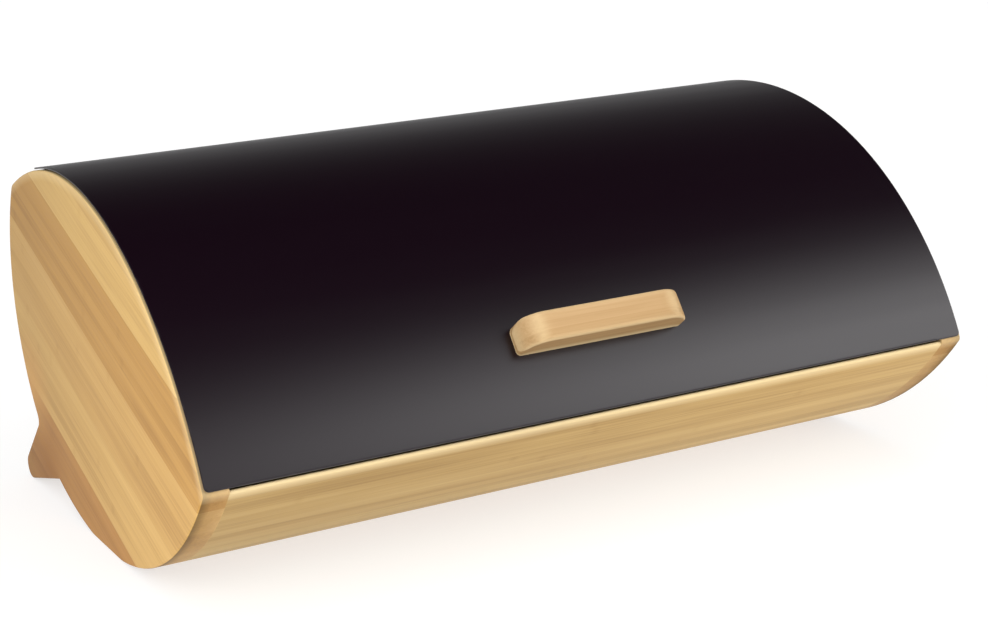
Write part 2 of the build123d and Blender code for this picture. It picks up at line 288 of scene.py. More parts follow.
@dataclass(frozen=True)
class Timber:
    """Bamboo strips glued edge to edge, sanded and oiled, and the plain beech of the dowels.

    The eye sees wide boards of slightly different honey tones, 6 mm lamellas, long fine fibres, a faint
    darker ring where a cane had a node, painted highlights along lit edges, and a soft sheen. A painted
    light falloff may brighten one end along the fibres and shade the other, and routed edges are darker
    near the outer face.
    """

    name: str
    grain: Grain
    boards: tuple[str, ...]
    first_joint: float
    board_width: float = 37 * MM
    joint_half: float = 0.35 * MM
    joint_depth: float = 1.5
    lamella: float = 6 * MM
    fibre: float = 1.3 * MM
    streak_width: float = 14.286 * MM
    streak_length: float = 200 * MM
    sway: float = 3 * MM
    sway_length: float = 166.67 * MM
    node_spacing: float = 260 * MM
    node_half: float = 3.5 * MM
    # Painted light falloff along the fibres: the share by which one end is brightened and the other shaded,
    # and its reach.
    painted_light_falloff: float = 0.0
    painted_light_reach: float = 130 * MM
    cut_span: tuple[float, float] | None = None
    marks: tuple[Mark, ...] = ()
    painted_edge_highlights: bool = False
    roughness: tuple[float, float] = (0.44, 0.60)

    def material(self) -> bpy.types.Material:
        """Build the finish from Object coordinates turned along the grain.

        Returns:
            The material.
        """
        material, tree, shader = new_material(self.name)
        turn = Matrix(self.grain.value).to_euler()
        place = add_node(tree, "ShaderNodeTexCoord").outputs["Object"]
        along = add_node(tree, "ShaderNodeMapping", {"Rotation": turn}, {"Vector": place}).outputs["Vector"]
        axes = add_node(tree, "ShaderNodeSeparateXYZ", links={"Vector": along})
        sway = add_node(
            tree, "ShaderNodeTexNoise", {"Scale": 1 / self.sway_length, "Detail": 1.0}, {"Vector": along}
        )
        across = add_node(
            tree,
            "ShaderNodeMath",
            {"operation": "MULTIPLY_ADD", 1: self.sway},
            {0: sway.outputs["Fac"], 2: axes.outputs["Y"]},
        ).outputs[0]
        count = add_node(
            tree,
            "ShaderNodeMapRange",
            {"clamp": False, "From Min": self.first_joint, "From Max": self.first_joint + self.board_width},
            {"Value": across},
        ).outputs["Result"]
        joint = self.glue_joints(tree, count)
        fibres = self.fibres(tree, along)
        figure = self.figure(tree, axes.outputs["X"], across, along, fibres, joint)
        colour = add_node(
            tree,
            "ShaderNodeVectorMath",
            {"operation": "MULTIPLY"},
            {0: figure, 1: self.board_colours(tree, count)},
        ).outputs["Vector"]
        # Painted light falloff: scale the colour up at one end along the fibres and down at the other.
        tone = add_node(
            tree,
            "ShaderNodeMapRange",
            {
                "From Min": -self.painted_light_reach,
                "From Max": self.painted_light_reach,
                "To Min": 1 + self.painted_light_falloff,
                "To Max": 1 - self.painted_light_falloff,
            },
            {"Value": axes.outputs["X"]},
        )
        colour = add_node(
            tree,
            "ShaderNodeVectorMath",
            {"operation": "SCALE"},
            {0: colour, "Scale": tone.outputs["Result"]},
        ).outputs["Vector"]
        if self.cut_span is not None:
            colour = self.tint_cut_edges(tree, place, colour)
        # Marks: pale ones are painted highlights along lit edges, others give the wood a tan or brown tone.
        for mark in self.marks:
            colour = self.mix_tone(tree, colour, self.mark_share(tree, place, mark), mark.tone)
        # Painted highlights, stored for each point as the edge attribute, mixed in as pale bamboo.
        if self.painted_edge_highlights:
            edge = add_node(tree, "ShaderNodeAttribute", {"attribute_name": "edge"})
            colour = self.mix_tone(tree, colour, edge.outputs["Fac"], PAINTED_HIGHLIGHT_TONE)
        smooth, rough = self.roughness
        sheen = add_node(tree, "ShaderNodeMapRange", {"To Min": smooth, "To Max": rough}, {"Value": fibres})
        height = add_node(
            tree,
            "ShaderNodeMath",
            {"operation": "MULTIPLY_ADD", 1: -self.joint_depth},
            {0: joint, 2: fibres},
        )
        relief = add_node(
            tree, "ShaderNodeBump", {"Strength": 0.5, "Distance": 0.06 * MM}, {"Height": height.outputs[0]}
        )
        shader.inputs["IOR"].default_value = 1.5
        shader.inputs["Specular IOR Level"].default_value = 0.14
        sources = {
            "Base Color": colour,
            "Roughness": sheen.outputs["Result"],
            "Normal": relief.outputs["Normal"],
        }
        wire(tree, shader, sources)
        return material

    def board_colours(self, tree: bpy.types.NodeTree, count: bpy.types.NodeSocket) -> bpy.types.NodeSocket:
        """Give each board its own tone.

        Args:
            tree: the material's node tree.
            count: number of boards from the first joint.
        Returns:
            The board's colour.
        """
        share = add_node(
            tree, "ShaderNodeMath", {"operation": "DIVIDE", 1: float(len(self.boards))}, {0: count}
        )
        stops = [(i / len(self.boards), linear(tone)) for i, tone in enumerate(self.boards)]
        ramp = add_node(
            tree,
            "ShaderNodeValToRGB",
            {"stop_mode": "CONSTANT", "stops": stops},
            {"Fac": share.outputs[0]},
        )
        return ramp.outputs["Color"]

    def glue_joints(self, tree: bpy.types.NodeTree, count: bpy.types.NodeSocket) -> bpy.types.NodeSocket:
        """Draw the glue joints 0.7 mm wide, wider than the real 0.2 mm so that they show.

        Args:
            tree: the material's node tree.
            count: number of boards from the first joint.
        Returns:
            A value of 1 on a joint and 0 off it.
        """
        part_way = add_node(tree, "ShaderNodeMath", {"operation": "FRACT"}, {0: count})
        away = add_node(tree, "ShaderNodeMath", {"operation": "PINGPONG", 1: 0.5}, {0: part_way.outputs[0]})
        joint = add_node(
            tree,
            "ShaderNodeMapRange",
            {
                "interpolation_type": "SMOOTHSTEP",
                "From Max": self.joint_half / self.board_width,
                "To Min": 1.0,
                "To Max": 0.0,
            },
            {"Value": away.outputs[0]},
        )
        return joint.outputs["Result"]

    def fibres(self, tree: bpy.types.NodeTree, along: bpy.types.NodeSocket) -> bpy.types.NodeSocket:
        """Draw fibres about 1 mm apart, coarser than the real 0.3 mm so that they show, 50 times as long.

        Args:
            tree: the material's node tree.
            along: coordinates turned along the grain.
        Returns:
            The fibres, from 0 to 1.
        """
        space = add_node(
            tree,
            "ShaderNodeMapping",
            {"Scale": repeats(50 * self.fibre, self.fibre, self.fibre)},
            {"Vector": along},
        )
        noise = add_node(
            tree,
            "ShaderNodeTexNoise",
            {"Scale": 1.0, "Detail": 3.0, "Roughness": 0.55},
            {"Vector": space.outputs["Vector"]},
        )
        return noise.outputs["Fac"]

    def figure(
        self,
        tree: bpy.types.NodeTree,
        length: bpy.types.NodeSocket,
        across: bpy.types.NodeSocket,
        along: bpy.types.NodeSocket,
        fibres: bpy.types.NodeSocket,
        joint: bpy.types.NodeSocket,
    ) -> bpy.types.NodeSocket:
        """Mix fibres, lamellas, cane nodes, streaks and joints into a factor on the board's colour.

        Args:
            tree: the material's node tree.
            length: place along the fibres.
            across: place across the boards.
            along: coordinates turned along the grain.
            fibres: the fibres, from 0 to 1.
            joint: 1 on a glue joint.
        Returns:
            A colour factor.
        """
        lamella = add_node(tree, "ShaderNodeMath", {"operation": "DIVIDE", 1: self.lamella}, {0: across})
        number = add_node(tree, "ShaderNodeMath", {"operation": "FLOOR"}, {0: lamella.outputs[0]})
        chance = add_node(
            tree, "ShaderNodeTexWhiteNoise", {"noise_dimensions": "1D"}, {"W": number.outputs[0]}
        )
        ring_place = add_node(
            tree,
            "ShaderNodeMath",
            {"operation": "MULTIPLY_ADD", 1: self.node_spacing},
            {0: chance.outputs["Value"], 2: length},
        )
        from_ring = add_node(
            tree,
            "ShaderNodeMath",
            {"operation": "PINGPONG", 1: self.node_spacing / 2},
            {0: ring_place.outputs[0]},
        )
        ring = add_node(
            tree,
            "ShaderNodeMapRange",
            {"interpolation_type": "SMOOTHSTEP", "From Max": self.node_half, "To Min": 1.0, "To Max": 0.0},
            {"Value": from_ring.outputs[0]},
        )
        # Streaks about 14 mm wide and a hand long, from the cane's inner and outer layers.
        streak_space = add_node(
            tree,
            "ShaderNodeMapping",
            {"Scale": repeats(self.streak_length, self.streak_width, self.streak_width)},
            {"Vector": along},
        )
        streaks = add_node(
            tree,
            "ShaderNodeTexNoise",
            {"Scale": 1.0, "Detail": 2.0, "Roughness": 0.5},
            {"Vector": streak_space.outputs["Vector"]},
        )
        # Each source with its share in the figure and its own mean, so that the figure's mean is 0.5.
        shares = (
            (fibres, 0.70, 0.5),
            (streaks.outputs["Fac"], 0.80, 0.5),
            (chance.outputs["Value"], 0.20, 0.5),
            (ring.outputs["Result"], -0.08, 0.0),
            (joint, -0.10, 0.0),
        )
        start = 0.5 - sum(share * mean for _, share, mean in shares)
        so_far: dict[Any, bpy.types.NodeSocket] = {}
        for source, share, _ in shares:
            step = {"operation": "MULTIPLY_ADD", 1: share, 2: start}
            so_far = {2: add_node(tree, "ShaderNodeMath", step, {0: source} | so_far).outputs[0]}
        ramp = add_node(
            tree,
            "ShaderNodeValToRGB",
            {
                "stops": [
                    (0.0, (0.62, 0.54, 0.45, 1.0)),
                    (0.5, (1.0, 1.0, 1.0, 1.0)),
                    (1.0, (1.22, 1.30, 1.46, 1.0)),
                ]
            },
            {"Fac": so_far[2]},
        )
        return ramp.outputs["Color"]

    def tint_cut_edges(
        self, tree: bpy.types.NodeTree, place: bpy.types.NodeSocket, colour: bpy.types.NodeSocket
    ) -> bpy.types.NodeSocket:
        """Darken the routed edges, most near the outer face.

        Args:
            tree: the material's node tree.
            place: Object coordinates.
            colour: the colour so far.
        Returns:
            The tinted colour.
        """
        axes = add_node(tree, "ShaderNodeSeparateXYZ", links={"Vector": place})
        outward = add_node(tree, "ShaderNodeMath", {"operation": "ABSOLUTE"}, {0: axes.outputs["X"]})
        face = add_node(
            tree,
            "ShaderNodeMapRange",
            {"From Min": self.cut_span[0], "From Max": self.cut_span[1]},
            {"Value": outward.outputs[0]},
        )
        tint = add_node(
            tree,
            "ShaderNodeValToRGB",
            {
                "stops": [
                    (0.0, (0.85, 0.92, 1.03, 1.0)),
                    (0.03, (0.78, 0.78, 0.88, 1.0)),
                    (0.60, (0.66, 0.64, 0.64, 1.0)),
                    (0.85, (0.40, 0.38, 0.31, 1.0)),
                    (0.95, (0.32, 0.30, 0.24, 1.0)),
                    (0.97, (1.0, 1.0, 1.0, 1.0)),
                ]
            },
            {"Fac": face.outputs["Result"]},
        )
        tinted = add_node(
            tree, "ShaderNodeVectorMath", {"operation": "MULTIPLY"}, {0: colour, 1: tint.outputs["Color"]}
        )
        return tinted.outputs["Vector"]

    def mark_share(
        self, tree: bpy.types.NodeTree, place: bpy.types.NodeSocket, mark: Mark
    ) -> bpy.types.NodeSocket:
        """Measure in Y and Z how near a point is to a mark.

        Args:
            tree: the material's node tree.
            place: Object coordinates.
            mark: the line or circle.
        Returns:
            The share of the mark's tone.
        """
        flat = add_node(
            tree, "ShaderNodeVectorMath", {"operation": "MULTIPLY", 1: (0.0, 1.0, 1.0)}, {0: place}
        )
        away = add_node(
            tree,
            "ShaderNodeVectorMath",
            {"operation": "DISTANCE", 1: (0.0, mark.y, mark.z)},
            {0: flat.outputs["Vector"]},
        )
        beyond = add_node(
            tree, "ShaderNodeMath", {"operation": "SUBTRACT", 1: mark.radius}, {0: away.outputs["Value"]}
        )
        gap = add_node(tree, "ShaderNodeMath", {"operation": "ABSOLUTE"}, {0: beyond.outputs[0]})
        share = add_node(
            tree,
            "ShaderNodeMapRange",
            {"From Max": mark.reach, "To Min": mark.strength, "To Max": 0.0},
            {"Value": gap.outputs[0]},
        )
        return share.outputs["Result"]

    def mix_tone(
        self, tree: bpy.types.NodeTree, colour: bpy.types.NodeSocket, share: bpy.types.NodeSocket, tone: str
    ) -> bpy.types.NodeSocket:
        """Mix in another tone.

        Args:
            tree: the material's node tree.
            colour: the colour so far.
            share: the share of the other tone.
            tone: the other tone.
        Returns:
            The mixed colour.
        """
        mixed = add_node(
            tree, "ShaderNodeMix", {"data_type": "RGBA", 7: linear(tone)}, {0: share, 6: colour}
        )
        return mixed.outputs[2]


@dataclass(frozen=True)
class BlackPaint:
    """Satin black powder paint baked on sheet steel.

    The eye sees a deep black with a broad soft sheen, a faint orange peel, slight uneven gloss, and paint
    rubbed thin along the sheet's edges.
    """

    name: str = "black_powder_paint_on_steel"
    colour: str = "#0E030B"
    rubbed: str = "#2E292C"
    peel: float = 1.4 * MM
    band_length: float = 500 * MM
    band_width: float = 16.667 * MM
    speckle: float = 4 * MM
    roughness: tuple[float, float] = (0.27, 0.35)

    def material(self) -> bpy.types.Material:
        """Build the finish from Object coordinates and the sheet's own edge attribute.

        Returns:
            The material.
        """
        material, tree, shader = new_material(self.name)
        place = add_node(tree, "ShaderNodeTexCoord").outputs["Object"]
        # Orange peel, drawn at 1.4 mm, coarser than the real 0.6 mm so that it shows.
        peel = add_node(
            tree,
            "ShaderNodeTexNoise",
            {"Scale": 1 / self.peel, "Detail": 2.0, "Roughness": 0.5},
            {"Vector": place},
        )
        # Gloss that changes slowly over the sheet, drawn out along the roll's length.
        scale = repeats(self.band_length, self.band_width, self.band_width)
        drawn = add_node(tree, "ShaderNodeMapping", {"Scale": scale}, {"Vector": place})
        bands = add_node(
            tree, "ShaderNodeTexNoise", {"Scale": 1.0, "Detail": 3.0}, {"Vector": drawn.outputs["Vector"]}
        )
        smooth, rough = self.roughness
        gloss = add_node(
            tree, "ShaderNodeMapRange", {"To Min": smooth, "To Max": rough}, {"Value": bands.outputs["Fac"]}
        )
        rim = add_node(tree, "ShaderNodeAttribute", {"attribute_name": "rim"})
        speckle = add_node(
            tree, "ShaderNodeTexNoise", {"Scale": 1 / self.speckle, "Detail": 3.0}, {"Vector": place}
        )
        worn = add_node(
            tree,
            "ShaderNodeMath",
            {"operation": "MULTIPLY"},
            {0: rim.outputs["Fac"], 1: speckle.outputs["Fac"]},
        )
        colour = add_node(
            tree,
            "ShaderNodeValToRGB",
            {"stops": [(0.25, linear(self.colour)), (0.75, linear(self.rubbed))]},
            {"Fac": worn.outputs[0]},
        )
        bump = {"Strength": 0.12, "Distance": 0.03 * MM}
        relief = add_node(tree, "ShaderNodeBump", bump, {"Height": peel.outputs["Fac"]})
        shader.inputs["IOR"].default_value = 1.5
        sources = {
            "Base Color": colour.outputs["Color"],
            "Roughness": gloss.outputs["Result"],
            "Normal": relief.outputs["Normal"],
        }
        wire(tree, shader, sources)
        return material


@dataclass(frozen=True)
class ZincPlate:
    """Bright zinc plate on pressed steel, with fine drawing lines and a slightly cloudy passivation."""

    name: str = "bright_zinc_plated_steel"
    bright: str = "#CDD0D4"
    cloudy: str = "#A9AEB4"
    cloud: float = 5 * MM
    line_length: float = 8.3333 * MM
    line_width: float = 0.4 * MM
    roughness: tuple[float, float] = (0.22, 0.42)

    def material(self) -> bpy.types.Material:
        """Build the finish from Object coordinates.

        Returns:
            The material.
        """
        material, tree, shader = new_material(self.name)
        place = add_node(tree, "ShaderNodeTexCoord").outputs["Object"]
        clouds = add_node(
            tree, "ShaderNodeTexNoise", {"Scale": 1 / self.cloud, "Detail": 4.0}, {"Vector": place}
        )
        colour = add_node(
            tree,
            "ShaderNodeValToRGB",
            {"stops": [(0.3, linear(self.cloudy)), (0.7, linear(self.bright))]},
            {"Fac": clouds.outputs["Fac"]},
        )
        scale = repeats(self.line_length, self.line_width, self.line_width)
        drawn = add_node(tree, "ShaderNodeMapping", {"Scale": scale}, {"Vector": place})
        lines = add_node(
            tree, "ShaderNodeTexNoise", {"Scale": 1.0, "Detail": 2.0}, {"Vector": drawn.outputs["Vector"]}
        )
        smooth, rough = self.roughness
        gloss = add_node(
            tree, "ShaderNodeMapRange", {"To Min": smooth, "To Max": rough}, {"Value": lines.outputs["Fac"]}
        )
        bump = {"Strength": 0.25, "Distance": 0.02 * MM}
        relief = add_node(tree, "ShaderNodeBump", bump, {"Height": lines.outputs["Fac"]})
        shader.inputs["Metallic"].default_value = 1.0
        sources = {
            "Base Color": colour.outputs["Color"],
            "Roughness": gloss.outputs["Result"],
            "Normal": relief.outputs["Normal"],
        }
        wire(tree, shader, sources)
        return material


@dataclass(frozen=True)
class Nylon:
    """Natural nylon, turned from rod: milky, slightly yellow, with faint turning rings."""

    name: str = "natural_nylon"
    colour: str = "#E6E2D6"
    shade: str = "#D3CDBC"
    ring: float = 0.55556 * MM
    cloud: float = 11.111 * MM

    def material(self) -> bpy.types.Material:
        """Build the finish from Object coordinates.

        Returns:
            The material.
        """
        material, tree, shader = new_material(self.name)
        place = add_node(tree, "ShaderNodeTexCoord").outputs["Object"]
        scale = repeats(self.ring, self.cloud, self.cloud)
        turned = add_node(tree, "ShaderNodeMapping", {"Scale": scale}, {"Vector": place})
        rings = add_node(
            tree, "ShaderNodeTexNoise", {"Scale": 1.0, "Detail": 2.0}, {"Vector": turned.outputs["Vector"]}
        )
        colour = add_node(
            tree,
            "ShaderNodeValToRGB",
            {"stops": [(0.3, linear(self.shade)), (0.7, linear(self.colour))]},
            {"Fac": rings.outputs["Fac"]},
        )
        bump = {"Strength": 0.2, "Distance": 0.02 * MM}
        relief = add_node(tree, "ShaderNodeBump", bump, {"Height": rings.outputs["Fac"]})
        shader.inputs["Roughness"].default_value = 0.45
        shader.inputs["IOR"].default_value = 1.53
        wire(tree, shader, {"Base Color": colour.outputs["Color"], "Normal": relief.outputs["Normal"]})
        return material


@dataclass(frozen=True)
class RollAxis:
    """The line along X about which the lid rolls."""

    y: float = frame["joints"][0]["pos_m"][1]
    z: float = frame["joints"][0]["pos_m"][2]

    def place(self, x: np.ndarray, radius: np.ndarray, turn: np.ndarray) -> np.ndarray:
        """Give the points at a radius and an angle from straight up, positive towards the back.

        Args:
            x: places along the axis.
            radius: distances from the axis.
            turn: angles in radians.
        Returns:
            An array with one point for each entry.
        """
        y = self.y + radius * np.sin(turn)
        z = self.z + radius * np.cos(turn)
        return np.stack([np.broadcast_to(x, y.shape), y, z], axis=-1)


@dataclass
class Carcass:
    """The wooden box: two side panels, the front rail, three boards and their dowels."""

    axis: RollAxis = RollAxis()
    rim_radius: float = 178.7 * MM
    panels: tuple[str, ...] = ("left_side_panel", "right_side_panel")
    level_boards: tuple[str, ...] = ("bottom_board", "top_rail")
    dowels: tuple[str, ...] = (
        "front_rail_dowels",
        "bottom_board_dowels",
        "back_board_dowels",
        "top_rail_dowels",
    )

    def panel_finish(self) -> Timber:
        """Give the side panels' finish: a painted highlight along the rim, painted light falloff from the
        bright front to the shaded back, tan at the back and brown on the heel.

        Returns:
            The finish.
        """
        inner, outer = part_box("right_side_panel")
        # Painted highlight along the panel's rounded rim beside the lid's ends.
        rim = Mark(self.axis.y, self.axis.z, reach=5 * MM, strength=0.28, radius=self.rim_radius)
        back = Mark(106 * MM, 54 * MM, reach=32 * MM, strength=0.9, tone="#BC8E52")
        heel = Mark(90 * MM, 15 * MM, reach=36 * MM, strength=0.52, tone="#87541A")
        return Timber(
            "bamboo_panel",
            Grain.PANEL,
            boards=("#9E7039", "#AB7B41", "#C29B5C", "#BD9557", "#B18647", "#C49F5F", "#C29C5C"),
            first_joint=-59.9 * MM,
            board_width=38.7 * MM,
            # Painted light: the panel's front brighter and its back shaded.
            painted_light_falloff=0.17,
            cut_span=(inner.x, outer.x),
            marks=(rim, back, heel),
        )

    def rail_finish(self) -> Timber:
        """Give the front rail's finish: a painted highlight along its upper front edge, and painted light
        falloff brighter towards the right.

        Returns:
            The finish.
        """
        low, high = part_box("front_rail")
        return Timber(
            "bamboo_rail",
            Grain.RAIL,
            boards=("#B79760", "#BB9C64", "#B3935B", "#B99962"),
            first_joint=-120 * MM,
            board_width=30 * MM,
            # Painted light: the rail's right end brighter and its left end shaded.
            painted_light_falloff=-0.10,
            # Painted highlight along the rail's upper front edge.
            marks=(Mark(low.y, high.z, reach=6.5 * MM, strength=0.66),),
        )

    def dress(self) -> None:
        """Give every wooden CAD node its bamboo or beech finish."""
        level = Timber(
            "bamboo_board",
            Grain.LEVEL,
            boards=("#BD9760", "#C49D63", "#B58E57", "#C6A067", "#BF9860", "#B89059"),
            first_joint=-100 * MM,
        )
        upright = Timber(
            "bamboo_back",
            Grain.UPRIGHT,
            boards=("#B89059", "#C29B62", "#BB945C", "#C49D63", "#B89059"),
            first_joint=-15 * MM,
        )
        beech = Timber(
            "beech_dowel",
            Grain.LEVEL,
            boards=("#CBA074", "#C59A6E"),
            first_joint=-250 * MM,
            board_width=250 * MM,
        )
        finishes = (
            (self.panel_finish(), self.panels),
            (self.rail_finish(), ("front_rail",)),
            (level, self.level_boards),
            (upright, ("back_board",)),
            (beech, self.dowels),
        )
        for finish, nodes in finishes:
            material = finish.material()
            for node in nodes:
                paint(node, material)


@dataclass
class LidSheet:
    """The rolled steel lid, with a folded hem inside its front and rear edges."""

    axis: RollAxis = RollAxis()
    radius: float = 180 * MM
    half_length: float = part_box("lid_shell")[1].x
    front_y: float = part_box("lid_shell")[0].y
    rear_y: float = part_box("lid_shell")[1].y
    hem_half_length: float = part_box("front_rail")[1].x - 4 * MM
    sheet: float = 0.8 * MM
    corner: float = 2.2 * MM
    end_round: float = 0.3 * MM
    hem_flat: float = 8.2 * MM
    # Grid lines: their places in millimetres from an edge, past the hem and about its ends, or as shares of
    # the end's round, and their counts elsewhere.
    hem_steps: tuple[float, ...] = (0.0, 0.6, 1.4, 3.0, 5.0, 8.0, 8.15)
    past_hem_steps: tuple[float, ...] = (0.05, 0.4, 2.8)
    hem_end_steps: tuple[float, ...] = (-0.3, -0.02, 0.02, 0.3, 10.0)
    end_round_steps: tuple[float, ...] = (0.25, 0.6, 1.0)
    round_lines: int = 11
    length_lines: int = 31
    arc_lines: int = 151
    wear_reach: float = 0.9 * MM

    def stations(self) -> np.ndarray:
        """Lay out the sheet's cross sections, close together at its corners and at the hem's ends.

        Returns:
            Their places along X.
        """
        hem_end = self.half_length - self.hem_half_length
        near = np.concatenate(
            [
                self.corner * (1 - np.cos(np.linspace(0, math.pi / 2, self.round_lines))),
                self.end_round * np.array(self.end_round_steps),
                hem_end + np.array(self.hem_end_steps) * MM,
            ]
        )
        end = np.unique(np.round(self.half_length - near, 7))
        middle = np.linspace(-end[0], end[0], self.length_lines)[1:-1]
        return np.concatenate([-end[::-1], middle, end])

    def edge_arcs(self) -> tuple[float, float]:
        """Give the arc lengths from straight up to the front and rear edges."""
        front, rear = np.arcsin((np.array([self.front_y, self.rear_y]) - self.axis.y) / self.radius)
        return float(front * self.radius), float(rear * self.radius)

    def build(self) -> bpy.types.Object:
        """Carry the sheet's closed cross section along X.

        A point lies at a distance from the nearest curved edge and at a depth under the outer face. The
        edge is a half circle as thick as the sheet, or as sheet and hem. Near each end the edge steps back
        along a quarter circle, which rounds the corner, and both faces close in by a small round.

        Returns:
            The lid's object.
        """
        x = self.stations()[:, None]
        from_end = self.half_length - np.abs(x)
        hem = np.where(np.abs(x) <= self.hem_half_length + WELD, self.sheet, 0.0)
        thick = self.sheet + hem
        edge_radius = thick / 2
        into_corner = np.clip(self.corner - from_end, 0, self.corner)
        step_back = self.corner - np.sqrt(self.corner**2 - into_corner**2)
        into_round = np.clip(self.end_round - from_end, 0, self.end_round)
        close_in = self.end_round - np.sqrt(self.end_round**2 - into_round**2)

        past_hem = self.hem_flat + np.array(self.past_hem_steps) * MM
        near = np.concatenate([np.array(self.hem_steps) * MM, past_hem])
        half = np.linspace(-math.pi / 2, math.pi / 2, self.round_lines)[1:-1]
        front, rear = self.edge_arcs()
        share = np.linspace(0, 1, self.arc_lines)[1:-1]

        first = front + step_back + edge_radius + near
        last = rear - step_back - edge_radius - near[::-1]
        between = first[:, -1:] + (last[:, :1] - first[:, -1:]) * share
        run = np.concatenate([first, between, last], axis=1)
        on_hem = near < self.hem_flat
        hemmed = np.concatenate([on_hem, np.zeros(len(share), bool), on_hem[::-1]])
        outer_depth = np.broadcast_to(close_in, run.shape)
        inner_depth = self.sheet + np.where(hemmed, hem, 0.0) - close_in
        fold = edge_radius - close_in
        rear_arc = rear - step_back - edge_radius + edge_radius * np.cos(half)
        rear_depth = edge_radius + fold * np.sin(half)
        front_arc = front + step_back + edge_radius - edge_radius * np.cos(half)
        front_depth = edge_radius - fold * np.sin(half)

        arc = np.concatenate([run, rear_arc, run[:, ::-1], front_arc], axis=1)
        depth = np.concatenate([outer_depth, rear_depth, inner_depth[:, ::-1], front_depth], axis=1)
        points = self.axis.place(x, self.radius - depth, arc / self.radius)
        rows, columns = arc.shape
        faces = grid_faces(rows, columns, closed=True)
        count = run.shape[1]
        fold_count = len(half)
        step = np.arange(count - 1)
        opposite = 2 * count + fold_count - 1 - step
        for row in (0, rows - 1):
            cap = np.stack([step, step + 1, opposite - 1, opposite], axis=1) + row * columns
            faces += [tuple(quad) for quad in cap.tolist()]
            rear_cap = np.arange(count - 1, count + fold_count + 1) + row * columns
            front_cap = np.append(np.arange(2 * count + fold_count - 1, columns), 0) + row * columns
            faces += [tuple(rear_cap.tolist()), tuple(front_cap.tolist())]
        piece = make_piece("rolled_lid", points.reshape(-1, 3), faces, sharp_deg=50.0)
        self.mark_rim(piece)
        return piece

    def mark_rim(self, piece: bpy.types.Object) -> None:
        """Store how near each point is to a sheet edge, from 0 away from it to 1 at the edge.

        Args:
            piece: the lid's object.
        """
        x, y, z = point_places(piece)
        arc = np.arctan2(y - self.axis.y, z - self.axis.z) * self.radius
        front, rear = self.edge_arcs()
        to_edge = np.minimum.reduce([self.half_length - np.abs(x), arc - front, rear - arc])
        store(piece, "rim", np.exp(-np.clip(to_edge, 0, None) / self.wear_reach))

    def dress(self) -> None:
        """Build the sheet, paint it and let it stand for its CAD node."""
        piece = self.build()
        piece.data.materials.append(BlackPaint().material())
        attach(piece, "lid")
        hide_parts("lid_shell")
        LOG.info("%s: %d faces", piece.name, len(piece.data.polygons))


